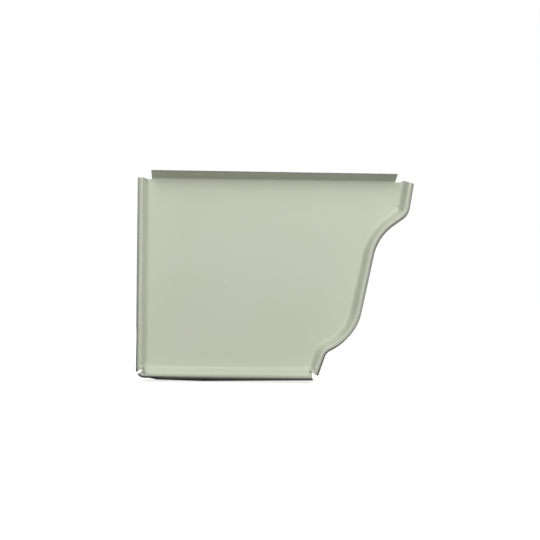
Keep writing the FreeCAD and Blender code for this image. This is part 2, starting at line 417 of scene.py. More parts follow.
def grown(thing, tree, values):
    """The plain mesh that a tree makes of an object, with values for its named inputs."""
    modifier = thing.modifiers.new(tree.name, "NODES")
    modifier.node_group = tree
    for item in tree.interface.items_tree:
        if item.in_out == "INPUT" and item.name in values:
            modifier[item.identifier] = values[item.name]
    mesh = evaluated_mesh(thing)
    thing.modifiers.remove(modifier)
    return mesh


print("tree helpers:", [helper.__name__ for helper in (geometry_tree, close_tree, grown)])

# %% [markdown]
# ## The rim, wrapped along its route by Geometry Nodes
#
# A roll or a press gives the rim one section all the way round, so it is the kind of shape that
# follows a rule: section times route. The tree draws the section as five corners and rounds three
# of them with Fillet Curve, exactly as a bent sheet is drawn. It then lays a flat grid, one column
# for each point of the section and one row for each station, and sets every grid point where its
# station and its section point say. Curve to Mesh would be shorter, but it sweeps along one route
# only, and this rim has two that part at the corners.

# %% The route as a chain of points with attributes
def placed(name, data):
    """A new object in the scene, at the origin."""
    thing = bpy.data.objects.new(name, data)
    bpy.context.scene.collection.objects.link(thing)
    return thing


def chain_of_stations():
    """A mesh of one point for each station, which carries the numbers that the tree needs."""
    mesh = bpy.data.meshes.new("rim_route")
    mesh.from_pydata([(rim.x, 0, rim.y) for n, s, rim, *rest in stations],
                     [(i, i + 1) for i in range(len(stations) - 1)], [])
    vectors = {"rim_inward": [row[3] for row in stations],
               "wall_line": [row[4] for row in stations],
               "wall_inward": [row[5] for row in stations]}
    for name, flat in vectors.items():
        layer = mesh.attributes.new(name, "FLOAT_VECTOR", "POINT")
        layer.data.foreach_set("vector", [c for v in flat for c in (v.x, 0, v.y)])
    # the fold's number is the strain and painted shade of its paint
    floats = {"opening": openings, "leg_share": leg_shares, "fold_strain_and_shade": fold_strains_and_shades}
    for name, numbers in floats.items():
        layer = mesh.attributes.new(name, "FLOAT", "POINT")
        layer.data.foreach_set("value", numbers)
    return placed("rim_route", mesh)


route_chain = chain_of_stations()
print("route points:", len(route_chain.data.vertices))

# %% The section, drawn as corners and rounded
SECTION_SIZES = {"Sheet": SHEET, "Fold radius": FOLD_RADIUS, "Foot radius": FOOT_RADIUS,
                 "Crest flat": CREST_FLAT, "Leg depth": LEG_DEPTH,
                 "Recess depth": RECESS_DEPTH, "Wall angle": WALL_ANGLE,
                 "Panel lap": 0.4 * MM, "Grain": 0.45 * MM}
ROUNDING_POINTS = 5


def by_index(start, kind, values):
    """A value chosen by the index of the point, one for each corner of the section."""
    index = start.node("GeometryNodeInputIndex", {}, {})
    made = start.tree.nodes.new("GeometryNodeIndexSwitch")
    made.data_type = kind
    while len(made.index_switch_items) < len(values):
        made.index_switch_items.new()
    feed(made, {"Index": index})
    feed(made, {number + 1: value for number, value in enumerate(values)})
    return Wire(start.tree, made.outputs[0])


def section_curve(size):
    """The sheet's middle line across the rim, as (reach, depth), from the free edge inwards."""
    start = size["Sheet"]
    half = size["Sheet"] / 2
    fold = size["Fold radius"] + half
    foot = size["Foot radius"] + half
    half_turn = (size["Wall angle"] / 2).math("TANGENT")
    wall_top = size["Fold radius"] + size["Crest flat"] + fold * half_turn
    wall_run = size["Recess depth"] / size["Wall angle"].math("TANGENT")
    wall_foot = wall_top + wall_run
    panel = size["Recess depth"] - half
    lap = wall_foot + foot * half_turn + size["Panel lap"]
    flat_corners = [(-half, size["Leg depth"] - size["Sheet"]), (-half, -half),
                    (wall_top, -half), (wall_foot, panel), (lap, panel)]
    corners = [start.vector(X=x, Y=y) for x, y in flat_corners]
    line = start.node("GeometryNodeMeshLine", {}, {"Count": len(corners)})
    bent = line.node("GeometryNodeSetPosition", {},
                     {"Geometry": line, "Position": by_index(start, "VECTOR", corners)})
    curve = bent.node("GeometryNodeMeshToCurve", {}, {"Mesh": bent})
    radii = by_index(start, "FLOAT", [0.0, fold, fold, foot, 0.0])
    return curve.node("GeometryNodeFilletCurve", {"mode": "POLY"},
                      {"Curve": curve, "Count": ROUNDING_POINTS, "Radius": radii})


def subdivided(curve, grain):
    """A curve with extra points on its long straight runs."""
    place = curve.node("GeometryNodeInputPosition", {}, {})
    index = curve.node("GeometryNodeInputIndex", {}, {})
    ahead = curve.node("GeometryNodeFieldAtIndex", {"data_type": "FLOAT_VECTOR"},
                       {"Index": index + 1, "Value": place})
    gap = place.vector_math("DISTANCE", {1: ahead}, "Value")
    cuts = (gap / grain).math("FLOOR")
    return curve.node("GeometryNodeSubdivideCurve", {}, {"Curve": curve, "Cuts": cuts})


print("points on each rounded corner of the section:", ROUNDING_POINTS)

# %% The tree that wraps the grid
# depths in shares of the outer fold's height, and the strain and painted shade that is left on the
# legs: a little on a square one, and more painted shade for each radian by which a leg has sprung
# open
STRAIN_AND_SHADE_FULL, STRAIN_AND_SHADE_FADE = 0.05, 2.0
LEG_STRAIN_AND_SHADE = 0.08
SPRUNG_LEG_SHADE = 2.2
# the crest carries a little strain and painted shade as well, less and less from its outer edge to
# the wall
CREST_STRAIN_AND_SHADE = 0.22
CREST_OUTER, CREST_INNER = 0.3 * MM, 1.6 * MM
QUARTER_TURN = math.pi / 2


def read_at(source, kind, value, index):
    """The value that a point of another geometry carries."""
    return source.node("GeometryNodeSampleIndex", {"data_type": kind},
                       {"Geometry": source, "Value": value, "Index": index})


def at_station(route, row, name, kind="FLOAT"):
    """A named attribute of the station that a row of the grid stands for."""
    attribute = route.node("GeometryNodeInputNamedAttribute", {"data_type": kind},
                           {"Name": name}, "Attribute")
    return read_at(route, kind, attribute, row)


def point_count(source, component):
    """How many points a mesh or a curve has."""
    return source.node("GeometryNodeAttributeDomainSize", {"component": component},
                       {"Geometry": source}, "Point Count")


def sprung(size, reach, depth, opening_angle, share):
    """A section point after its leg is shortened and has sprung open about its fold."""
    fold = size["Fold radius"]
    on_leg = reach < fold
    past_fold = (depth - fold).math("MAXIMUM", 0.0) * on_leg
    shorter = depth - past_fold * (1 - share)
    cosine = ((fold - depth) / (fold + size["Sheet"] / 2)).clamped()
    share_of_fold = cosine.math("ARCCOSINE") / QUARTER_TURN
    turn = opening_angle * share_of_fold * on_leg
    flat = reach.vector(X=reach, Y=shorter)
    centre = reach.vector(X=fold, Y=fold)
    turned = flat.node("ShaderNodeVectorRotate", {"rotation_type": "Z_AXIS"},
                       {"Vector": flat, "Center": centre, "Angle": turn})
    return turned.parts("X", "Y")


def strained_share(size, reach, depth, opening_angle, at_fold):
    """How much strain and painted shade the paint carries: most on the outer fold, less on the leg
    and crest, 0 elsewhere.
    """
    fold = size["Fold radius"]
    drop = (depth + size["Sheet"] / 2) / (fold + size["Sheet"] / 2)
    onset = drop.smooth(0.0, STRAIN_AND_SHADE_FULL)
    kept = LEG_STRAIN_AND_SHADE + opening_angle * SPRUNG_LEG_SHADE
    fade = 1 - (1 - kept) * (drop - 1).smooth(0.0, STRAIN_AND_SHADE_FADE)
    on_fold = at_fold * onset * fade * (reach < fold)
    on_crest = CREST_STRAIN_AND_SHADE * (1 - reach.smooth(CREST_OUTER, CREST_INNER))
    return on_fold.math("MAXIMUM", on_crest)


def wrapped_rim_tree():
    """The tree: section times route, as one sheet of small faces."""
    tree, size = geometry_tree("Rim wrapped along its route", SECTION_SIZES)
    route = size["Geometry"]
    section = subdivided(section_curve(size), size["Grain"])
    rows = point_count(route, "MESH")
    columns = point_count(section, "CURVE")
    grid = route.node("GeometryNodeMeshGrid", {}, {"Vertices X": rows, "Vertices Y": columns})
    index = grid.node("GeometryNodeInputIndex", {}, {})
    column = index.math("MODULO", columns)
    row = (index - column) / columns
    place = route.node("GeometryNodeInputPosition", {}, {})
    flat = read_at(section, "FLOAT_VECTOR", place, column)
    reach, depth = flat.parts("X", "Y")
    opening_angle = at_station(route, row, "opening")
    share = at_station(route, row, "leg_share")
    at_fold = at_station(route, row, "fold_strain_and_shade")
    new_reach, new_depth = sprung(size, reach, depth, opening_angle, share)
    on_wall = reach > size["Fold radius"] + size["Crest flat"] / 2
    line = on_wall.vector_mix(read_at(route, "FLOAT_VECTOR", place, row),
                              at_station(route, row, "wall_line", "FLOAT_VECTOR"))
    inward = on_wall.vector_mix(at_station(route, row, "rim_inward", "FLOAT_VECTOR"),
                                at_station(route, row, "wall_inward", "FLOAT_VECTOR"))
    stretched = inward.vector_math("SCALE", {"Scale": new_reach})
    sunk = inward.vector(Y=new_depth)
    there = line.vector_math("ADD", {1: stretched}).vector_math("ADD", {1: sunk})
    # the paint's strain and painted shade, stored for the material
    marked = grid.node("GeometryNodeStoreNamedAttribute", {"data_type": "FLOAT"},
                       {"Geometry": grid, "Name": "strained",
                        "Value": strained_share(size, reach, depth, opening_angle, at_fold)})
    rim = marked.node("GeometryNodeSetPosition", {}, {"Geometry": marked, "Position": there})
    close_tree(tree, rim, size["Material"])
    return tree


rim_mesh = grown(route_chain, wrapped_rim_tree(), SECTION_SIZES)
rows_of_rim = len(stations)
columns_of_rim = len(rim_mesh.vertices) // rows_of_rim
print("rim grid:", rows_of_rim, "rows by", columns_of_rim, "columns")

# %% [markdown]
# ## The panel and the flange
#
# The panel is flat, but it needs small faces so that a dent can be pressed into it later. A
# Delaunay triangulation takes the rim's inner edge as it is, adds a mesh of loose points inside and
# joins them into even triangles, so panel and rim share their edge points and no seam shows. The
# flange is bent forwards along the panel's top edge. Its bend opens a little from one end to the
# other, so each column of points gets its own angle.

# %% Where the flange starts and ends
def lip_foot():
    """The x of the wall's foot behind the lip, at the panel's top."""
    lip_corner = sum(run for run, rise in OGEE_MOVES) * MM
    face = lip_corner + LIP_HEIGHT * LIP_SLOPE
    return face - FOOT_REACH / math.cos(LIP_LEAN)


GAP_BACK = 0.8 * MM
GAP_FRONT = 3.1 * MM
FLANGE_START = FOOT_REACH + GAP_BACK
FLANGE_END = lip_foot() - GAP_FRONT
FLANGE_WIDTH = 6.9 * MM
FLANGE_SLANT = math.tan(math.radians(13))
FOLD_BACK, FOLD_FRONT = math.radians(66.7), math.radians(70.4)
FLANGE_BEND = 0.8 * MM + SHEET / 2
FOLD_FALL = math.tan(math.radians(0.15))


def fold_line(x):
    """The height of the flange's fold line."""
    return PANEL_HEIGHT - (x - FLANGE_START) * FOLD_FALL


NOTCH_DROP = 0.1 * MM
BACK_NOTCH = fold_line(FLANGE_START) - NOTCH_DROP
FRONT_NOTCH = fold_line(FLANGE_END) - NOTCH_DROP
SLIT = 0.1 * MM

print("flange from", round(FLANGE_START / MM, 2), "to", round(FLANGE_END / MM, 2))

# %% The panel's triangles
PANEL_GRAIN = 2.2 * MM
EDGE_CLEARANCE = 1.3 * MM
ROW_HEIGHT = PANEL_GRAIN * math.sqrt(3) / 2
KEEP_INSIDE = 1
NEARNESS = 1e-7


def inner_edge_of_rim():
    """The points of the rim's last column, from the top of the back round to the lip."""
    last = columns_of_rim - 1
    return [rim_mesh.vertices[row * columns_of_rim + last].co for row in range(rows_of_rim)]


def fold_points():
    """Evenly spaced x along the fold line, from its front end to its back end."""
    count = round((FLANGE_END - FLANGE_START) / PANEL_GRAIN)
    return list(np.linspace(FLANGE_END, FLANGE_START, count + 1))


def panel_outline():
    """The panel's closed outline in the XZ plane: the rim's own edge, then the fold line."""
    outline = [(p.x, p.z) for p in inner_edge_of_rim()]
    front = FLANGE_END + 2 * SLIT
    rise = BLANK_HEIGHT - FRONT_NOTCH
    outline += [(front + rise * FLANGE_SLANT, BLANK_HEIGHT), (front, FRONT_NOTCH - SLIT / 3)]
    outline += [(x, fold_line(x)) for x in fold_points()]
    back = FLANGE_START - 2 * SLIT
    outline += [(back, BACK_NOTCH - SLIT / 3), (back, BLANK_HEIGHT)]
    return outline


def loose_points(outline):
    """Points of a staggered grid that lie well inside the outline."""
    edge = np.array(outline)
    low, high = edge.min(axis=0), edge.max(axis=0)
    points = []
    for number, z in enumerate(np.arange(low[1], high[1], ROW_HEIGHT)):
        for x in np.arange(low[0] + (number % 2) * PANEL_GRAIN / 2, high[0], PANEL_GRAIN):
            near = np.hypot(edge[:, 0] - x, edge[:, 1] - z).min() < EDGE_CLEARANCE
            if not near and z < fold_line(x) - EDGE_CLEARANCE:
                points.append((x, z))
    return points


def panel_triangles():
    """Points and triangles of the panel: the outline's points come first."""
    outline = panel_outline()
    points = [Vector(p) for p in outline + loose_points(outline)]
    loop = list(range(len(outline)))
    corners, edges, triangles, *sources = delaunay_2d_cdt(points, [], [loop], KEEP_INSIDE, NEARNESS)
    return corners, triangles


panel_points, panel_faces = panel_triangles()
print("panel points and triangles:", len(panel_points), len(panel_faces))

# %% The flange's rows of faces
BEND_STEPS = 7
FLAT_STEPS = 6
MERGE_WITHIN = 0.02 * MM


def flange_point(x, row):
    """A point of the flange above x on the fold line: up the bend, then up the flat."""
    share = (x - FLANGE_START) / (FLANGE_END - FLANGE_START)
    fold = FOLD_BACK + (FOLD_FRONT - FOLD_BACK) * share
    turn = fold * min(row / BEND_STEPS, 1)
    flat = FLANGE_WIDTH * max(row - BEND_STEPS, 0) / FLAT_STEPS
    rise = FLANGE_BEND * math.sin(turn) + flat * math.cos(fold)
    forward = FLANGE_BEND * (1 - math.cos(turn)) + flat * math.sin(fold)
    shift = rise * FLANGE_SLANT * share
    return Vector((x + shift, PANEL_DEPTH - forward, fold_line(x) + rise))


def add_flange(sheet):
    """Adds the flange's faces to the sheet."""
    rows = BEND_STEPS + FLAT_STEPS
    columns = [[sheet.verts.new(flange_point(x, row)) for row in range(rows + 1)]
               for x in fold_points()]
    for left, right in zip(columns, columns[1:]):
        for row in range(rows):
            sheet.faces.new((left[row], right[row], right[row + 1], left[row + 1]))


def joined_sheet():
    """The whole middle surface: rim, panel and flange, with their shared points merged."""
    sheet = bmesh.new()
    sheet.from_mesh(rim_mesh)
    corners = [sheet.verts.new((p.x, PANEL_DEPTH, p.y)) for p in panel_points]
    for triangle in panel_faces:
        sheet.faces.new([corners[i] for i in triangle])
    add_flange(sheet)
    bmesh.ops.remove_doubles(sheet, verts=sheet.verts, dist=MERGE_WITHIN)
    bmesh.ops.recalc_face_normals(sheet, faces=sheet.faces)
    return sheet


sheet = joined_sheet()
loose = [e for e in sheet.edges if len(e.link_faces) > 2]
print("sheet points:", len(sheet.verts), "edges with more than two faces:", len(loose))

# %% [markdown]
# ## Press marks
#
# Where the sheet is squeezed round a tight corner it crumples, and the photo shows this beside the
# slot at the back corner and beside the notch at the front one. Fainter marks lie on the lip's wall
# and on the panel. Small smooth dimples and ridges in the middle surface give them real shape, so
# that they catch the light from any side. One function presses a soft round mark of any radius and
# depth, and a table lists them.

# %% Press the marks into the middle surface
# x, z, radius and depth in mm; a positive depth pushes the sheet away from the viewer
PRESS_MARKS = [
    (3.0, 3.9, 0.9, 0.90), (2.9, 1.9, 0.9, 0.80), (1.5, 4.2, 0.9, -0.35), (2.2, 6.1, 1.3, 0.30),
    (4.0, 2.9, 0.9, 0.45), (4.9, 4.6, 1.1, -0.25), (3.7, 5.2, 0.9, -0.25), (6.2, 1.4, 1.2, -0.20),
    (5.1, 2.1, 0.8, -0.25), (81.7, 2.8, 0.75, 1.30), (79.6, 4.3, 1.4, -0.25),
    (84.2, 4.6, 1.0, -0.35), (82.6, 5.0, 1.1, 0.30), (80.6, 2.6, 0.9, -0.15),
    (122.2, 81.2, 1.0, 0.60), (124.6, 80.6, 1.1, -0.25), (40.9, 42.5, 1.6, 0.10),
]


def soft_mark(x, z, radius):
    """1 in the middle of a round mark, easing to 0 at its edge."""
    share = np.clip(1 - (x * x + z * z) / (radius * radius), 0, 1)
    return share * share


def press(sheet, marks):
    """Moves the points of the front of the sheet along Y, but not the legs behind it."""
    for x, z, radius, depth in marks:
        for v in sheet.verts:
            if abs(v.co.x - x * MM) < radius * MM and v.co.y < PANEL_DEPTH + SHEET:
                amount = soft_mark(v.co.x - x * MM, v.co.z - z * MM, radius * MM)
                v.co.y += depth * MM * amount


press(sheet, PRESS_MARKS)
print("marks pressed:", len(PRESS_MARKS))

# %% [markdown]
# ## Thickness, then the cuts
#
# Real sheet is blanked flat and folded afterwards. A model is easier the other way round: give the
# middle surface its thickness first, and cut the slot, the notch and the top ends right through it.
# Solidify adds the same amount on both sides and closes the free edges, whose faces get the second
# material, bare metal. Four cutters then do what the blanking die did.

# %% The sheet as an object with thickness
def stub_material(name):
    """A new material, whose nodes are made later."""
    made = bpy.data.materials.new(name)
    made.use_nodes = True
    return made


paint = stub_material("coil_paint")
bare_edge = stub_material("sheared_edge")


def solid_from(sheet):
    """The middle surface as an object with its thickness."""
    mesh = bpy.data.meshes.new("end_cap_sheet")
    sheet.to_mesh(mesh)
    mesh.materials.clear()
    mesh.materials.append(paint)
    mesh.materials.append(bare_edge)
    mesh.polygons.foreach_set("material_index", [0] * len(mesh.polygons))
    thing = placed("end_cap_sheet", mesh)
    wall = thing.modifiers.new("Thickness", "SOLIDIFY")
    wall.thickness = SHEET
    wall.offset = 0
    wall.use_even_offset = True
    wall.material_offset_rim = 1
    return thing


cap = solid_from(sheet)
sheet.free()
print("middle surface faces:", len(cap.data.polygons))

# %% The cutters
CUT_ROOM = 40 * MM


def prism(name, outline, lean=0.0):
    """A cutter with an (x, z) outline at y = 0, whose sides lean towards +X as they go in."""
    half = Vector((math.tan(lean), 1, 0)) * (CUT_ROOM / 2)
    corners = [Vector((x, 0, z)) for x, z in outline]
    work = bmesh.new()
    near = [work.verts.new(c - half) for c in corners]
    far = [work.verts.new(c + half) for c in corners]
    work.faces.new(near)
    work.faces.new(far[::-1])
    for i in range(len(corners)):
        j = (i + 1) % len(corners)
        work.faces.new((near[j], near[i], far[i], far[j]))
    bmesh.ops.recalc_face_normals(work, faces=work.faces)
    mesh = bpy.data.meshes.new(name)
    work.to_mesh(mesh)
    work.free()
    mesh.materials.append(bare_edge)
    return placed(name, mesh)


print("cutters reach", round(CUT_ROOM / 2 / MM), "mm to either side")

# %% The rim's top ends, and the relief notches beside the flange
BACK_RIM_FLAT = 2.2 * MM
BACK_NOTCH_WIDTH = 2.1 * MM
FRONT_NOTCH_WIDTH = 2.5 * MM
FRONT_RIM_STEP = 1.0 * MM
FRONT_RIM_FALL = math.tan(math.radians(18))
ABOVE = BLANK_HEIGHT + CUT_ROOM / 4


def back_top_outline():
    """What is cut away above the back of the rim, down to its notch."""
    back = FLANGE_START - SLIT
    return [(-CUT_ROOM, RIM_TOP), (BACK_RIM_FLAT, RIM_TOP),
            (FLANGE_START - BACK_NOTCH_WIDTH, BACK_NOTCH), (back, BACK_NOTCH),
            (back, ABOVE), (-CUT_ROOM, ABOVE)]


def front_top_outline():
    """What is cut away above the lip, down to its notch."""
    notch_end = FLANGE_END + FRONT_NOTCH_WIDTH
    peak = notch_end + FRONT_RIM_STEP
    outside = peak + CUT_ROOM
    front = FLANGE_END + SLIT
    slanted = front + (ABOVE - FRONT_NOTCH) * FLANGE_SLANT
    return [(front, FRONT_NOTCH), (notch_end, FRONT_NOTCH), (peak, RIM_TOP),
            (outside, RIM_TOP - CUT_ROOM * FRONT_RIM_FALL), (outside, ABOVE), (slanted, ABOVE)]


top_cutters = [prism("back_top", back_top_outline()), prism("front_top", front_top_outline())]
print("cutters:", [c.name for c in top_cutters])

# %% The slot and the notch that split the two lower corners
SLOT_CENTRE = Vector((1.7, 2.85)) * MM
SLOT_HALF_WIDTH = 0.5 * MM
SLOT_ANGLE = math.radians(35)
SLOT_FLARE = math.tan(math.radians(2))
SLOT_TIP_POINTS = 13
CORNER_NOTCH_INSET = 1.8 * MM
CORNER_NOTCH_RISE = 2.75 * MM
CORNER_NOTCH_FALL = math.tan(math.radians(31))
CORNER_NOTCH_LEAN = math.radians(4)


def slot_outline():
    """The slot at the back corner, with a round inner end and sides that flare a little."""
    outward = -Vector((math.cos(SLOT_ANGLE), math.sin(SLOT_ANGLE)))
    across = left_of(outward)
    mouth_half = SLOT_HALF_WIDTH + CUT_ROOM * SLOT_FLARE
    tip = [carried(SLOT_CENTRE + across * SLOT_HALF_WIDTH, SLOT_CENTRE, turn)
           for turn in np.linspace(0, math.pi, SLOT_TIP_POINTS)]
    mouth = SLOT_CENTRE + outward * CUT_ROOM
    return [tuple(p) for p in tip + [mouth - across * mouth_half, mouth + across * mouth_half]]


def notch_outline():
    """The open notch at the front corner."""
    x = BOTTOM_WIDTH * MM - CORNER_NOTCH_INSET
    z = CORNER_NOTCH_RISE
    fall = CUT_ROOM * CORNER_NOTCH_FALL
    return [(x, z), (x, z - CUT_ROOM), (x + CUT_ROOM, z - CUT_ROOM), (x + CUT_ROOM, z - fall)]


corner_cutters = [prism("corner_slot", slot_outline()),
                  prism("corner_notch", notch_outline(), CORNER_NOTCH_LEAN)]
print("cutters:", [c.name for c in corner_cutters])

# %% Cut, and keep the result as a plain mesh
SMOOTH_UP_TO = math.radians(38)


def cut_through(thing, cutters):
    """Gives the object its final mesh, with every cutter's shape taken out of it."""
    for cutter in cutters:
        cut = thing.modifiers.new(cutter.name, "BOOLEAN")
        cut.operation = "DIFFERENCE"
        cut.solver = "EXACT"
        cut.object = cutter
        cut.material_mode = "TRANSFER"
    mesh = evaluated_mesh(thing)
    thing.modifiers.clear()
    thing.data = mesh
    for cutter in cutters:
        bpy.data.objects.remove(cutter)


def smooth_by_angle(mesh, limit):
    """Smooths the faces but for edges sharper than the limit, and counts the open edges."""
    work = bmesh.new()
    work.from_mesh(mesh)
    for face in work.faces:
        face.smooth = True
    for edge in work.edges:
        sharp = len(edge.link_faces) != 2 or edge.calc_face_angle(0) > limit
        edge.smooth = not sharp
    open_edges = sum(1 for edge in work.edges if len(edge.link_faces) != 2)
    work.to_mesh(mesh)
    work.free()
    return open_edges


cut_through(cap, top_cutters + corner_cutters)
open_edges = smooth_by_angle(cap.data, SMOOTH_UP_TO)
bpy.data.objects.remove(route_chain)
print("cap faces:", len(cap.data.polygons), "open edges:", open_edges)
print("materials:", [m.name for m in cap.data.materials])

# %% [markdown]
# ## The coil paint
#
# Gutter sheet is painted on the coil with a thin satin polyester enamel, here a soft greyish olive
# cream. It is very even, so the material stays quiet: a cloudy change of a percent or two, a fine
# texture in the gloss, a light orange-peel bump and a few rubbed places where the tool slid. All of
# that comes from noise on Object coordinates, so that nothing slides or stretches. Over it lie two
# kinds of dark grey. The folds and the crest take theirs from the attribute that the rim's tree
# stored, partly paint strained by the bend and partly painted shade. The sharp creases take a
# painted shadow from a table of places.

# %% Starting a material
# lumps to the metre, levels of detail, and how strong the finer ones are
NOISES = {"cloud": (28.0, 2.0, 0.5), "rub": (160.0, 4.0, 0.65), "peel": (320.0, 1.0, 0.5),
          "grain": (900.0, 2.0, 0.5), "tear": (1500.0, 3.0, 0.6), "ragged": (2200.0, 1.0, 0.5)}


def wiped(material):
    """A material's tree with just a new shader in it, that shader, and the object coordinates."""
    tree = material.node_tree
    tree.nodes.clear()
    shader = tree.nodes.new("ShaderNodeBsdfPrincipled")
    output = tree.nodes.new("ShaderNodeOutputMaterial")
    tree.links.new(shader.outputs["BSDF"], output.inputs["Surface"])
    coordinates = tree.nodes.new("ShaderNodeTexCoord")
    return tree, shader, Wire(tree, coordinates.outputs["Object"])


def noise(place, name):
    """One of the listed noises, between 0 and 1."""
    scale, detail, roughness = NOISES[name]
    return place.node("ShaderNodeTexNoise", {},
                      {"Vector": place, "Scale": scale, "Detail": detail, "Roughness": roughness})


def bumped(height, strength, rise):
    """A normal that follows a height between 0 and 1, for a surface with so high a rise."""
    inputs = {"Height": height, "Strength": strength, "Distance": rise}
    return height.node("ShaderNodeBump", {}, inputs, "Normal")


print("noises:", list(NOISES))

# %% The painted crease shadows
# x, z and half width in mm and how dark; painted shadows in the sharp creases among the press marks
CREASE_SHADOWS = [(3.0, 3.9, 0.75, 0.75), (3.35, 3.2, 0.55, 0.55), (3.0, 2.5, 0.5, 0.55),
           (3.5, 1.9, 0.75, 0.75), (2.6, 5.8, 0.8, 0.25), (4.1, 2.9, 0.5, 0.35),
           (0.1, 2.7, 0.55, 0.85), (3.2, 92.9, 0.5, 0.45), (3.9, 91.6, 0.5, 0.2),
           (81.6, 2.95, 0.65, 0.95), (84.3, 3.0, 0.5, 0.45), (85.0, 1.8, 0.6, 0.8),
           (124.3, 80.2, 0.5, 0.55), (40.9, 42.5, 0.7, 0.12)]
RAGGEDNESS = 0.8
CREASE_INNER, CREASE_OUTER = 0.55, 1.5


def crease_shadow(place):
    """How much painted shadow a point shows, from the creases that lie near its x and z."""
    x_part, z_part = place.parts("X", "Z")
    flat = place.vector(X=x_part, Z=z_part)
    ragged = noise(place, "ragged") * RAGGEDNESS
    total = 0.0
    for x, z, half_width, dark in CREASE_SHADOWS:
        away = flat.vector_math("DISTANCE", {1: (x * MM, 0, z * MM)}, "Value")
        outside = (away / (half_width * MM) + ragged).smooth(CREASE_INNER, CREASE_OUTER)
        total = dark * (1 - outside) + total
    return total.clamped()


print("creases:", len(CREASE_SHADOWS))

# %% Paint
PAINT_COLOUR = (0.530, 0.552, 0.455, 1)
PAINT_SHADE = (0.508, 0.530, 0.430, 1)
PAINT_RUBBED = (0.575, 0.590, 0.500, 1)
# near black: strained paint, and painted shade on the folds, the sprung leg and the crest
PAINT_STRAIN_AND_SHADE = (0.052, 0.046, 0.058, 1)
# painted shadow in the creases
PAINT_CREASE_SHADOW = (0.060, 0.062, 0.052, 1)
# between which heights a noise comes to show, and how much of its colour it lends
CLOUD_FROM, CLOUD_TO, CLOUD_SHARE = 0.35, 0.65, 0.55
RUB_FROM, RUB_TO, RUB_SHARE = 0.60, 0.78, 0.35
# how far the grain breaks up the grey of strain and painted shade
STRAIN_AND_SHADE_SPECKLE = 0.15
# roughness, and what each thing adds to it or takes away
DULLNESS, UNEVEN_DULLNESS, RUB_POLISH, STRAIN_AND_SHADE_DULLNESS = 0.40, 0.06, 0.05, 0.67
# the bump: how strong, how high, and how much of it is grain and not orange peel
BUMP_STRENGTH, BUMP_RISE, GRAIN_SHARE = 0.10, 0.2 * MM, 0.6
PAINT_SPECULAR = 0.2


def mix_paint():
    """Satin enamel over the sheet, with painted shade on the folds and painted shadows in the
    creases.
    """
    tree, shader, place = wiped(paint)
    cloud = noise(place, "cloud")
    grain = noise(place, "grain")
    rub = noise(place, "rub").smooth(RUB_FROM, RUB_TO)
    shade = cloud.smooth(CLOUD_FROM, CLOUD_TO) * CLOUD_SHARE
    cloudy = shade.colour_mix(PAINT_COLOUR, PAINT_SHADE)
    rubbed = (rub * RUB_SHARE).colour_mix(cloudy, PAINT_RUBBED)
    # the strain and painted shade that the rim's tree stored
    strained = place.node("ShaderNodeAttribute", {"attribute_name": "strained"}, {}, "Fac")
    speckle = 1 - STRAIN_AND_SHADE_SPECKLE + grain * STRAIN_AND_SHADE_SPECKLE
    crazed_and_shaded = (strained * speckle).colour_mix(rubbed, PAINT_STRAIN_AND_SHADE)
    uneven = cloud * UNEVEN_DULLNESS + grain * UNEVEN_DULLNESS
    dullness = DULLNESS + uneven - rub * RUB_POLISH + strained * STRAIN_AND_SHADE_DULLNESS
    height = grain * GRAIN_SHARE + noise(place, "peel") * (1 - GRAIN_SHARE)
    # the creases lay their painted shadow over everything
    feed(shader, {"Base Color": crease_shadow(place).colour_mix(crazed_and_shaded, PAINT_CREASE_SHADOW),
                  "Roughness": dullness,
                  "Specular IOR Level": PAINT_SPECULAR,
                  "Normal": bumped(height, BUMP_STRENGTH, BUMP_RISE)})


mix_paint()
print("paint nodes:", len(paint.node_tree.nodes))

# %% [markdown]
# ## The sheared edge
#
# The blanks are sheared out of painted coil, so every free edge, and every edge of the slot and the
# notches, is bare aluminium. Torn metal is rough, and in the photo it shows as a thin dark line. So
# the material is a dark grey metal, darker than bare aluminium, which paints the shade of that line
# into it, with lighter specks and a bump, all from one fine noise.

# %% Bare metal
# bare aluminium darkened to a painted shade
EDGE_CUT_SHADED = (0.15, 0.15, 0.14, 1)
EDGE_TORN_SHADED = (0.09, 0.09, 0.08, 1)
TEAR_FROM, TEAR_TO = 0.35, 0.7
EDGE_DULLNESS, TEAR_DULLNESS = 0.60, 0.20
TEAR_STRENGTH, TEAR_RISE = 0.25, 0.1 * MM


def mix_bare_edge():
    """Sheared aluminium, darkened to a painted shade."""
    tree, shader, place = wiped(bare_edge)
    tear = noise(place, "tear")
    feed(shader, {"Base Color": tear.smooth(TEAR_FROM, TEAR_TO).colour_mix(EDGE_CUT_SHADED, EDGE_TORN_SHADED),
                  "Roughness": EDGE_DULLNESS + tear * TEAR_DULLNESS,
                  "Metallic": 1.0,
                  "Normal": bumped(tear, TEAR_STRENGTH, TEAR_RISE)})


mix_bare_edge()
print("edge nodes:", len(bare_edge.node_tree.nodes))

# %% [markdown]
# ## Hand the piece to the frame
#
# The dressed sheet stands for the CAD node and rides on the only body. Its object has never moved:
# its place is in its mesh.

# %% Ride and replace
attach(cap, "root")
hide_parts("end_cap")
print("dressed piece:", cap.name)

# %% [markdown]
# ## Floor and background
#
# The part stands on its sprung bottom leg, and everything round it is plain white in the photo but
# for a soft shadow. So the camera sees a light grey floor that glows a little, which lifts it to
# white and keeps the shadow, and further off it is plain white. What the floor throws back on the
# part stays the light of a mid grey table, or the underside of the sheet would be too bright. In
# the gloss of the leg the floor is dark right under the part and pale beside it.

# %% Floor
BLACK, WHITE = (0, 0, 0, 1), (1, 1, 1, 1)
# just under the lowest edge of the sprung leg
FLOOR_LEVEL = -0.00217
FLOOR_HALF = 6.0
FLOOR_SEEN = (0.60, 0.60, 0.60, 1)
FLOOR_BOUNCE = (0.30, 0.30, 0.29, 1)
FLOOR_LIFT = 0.56
FLOOR_DULLNESS = 0.9
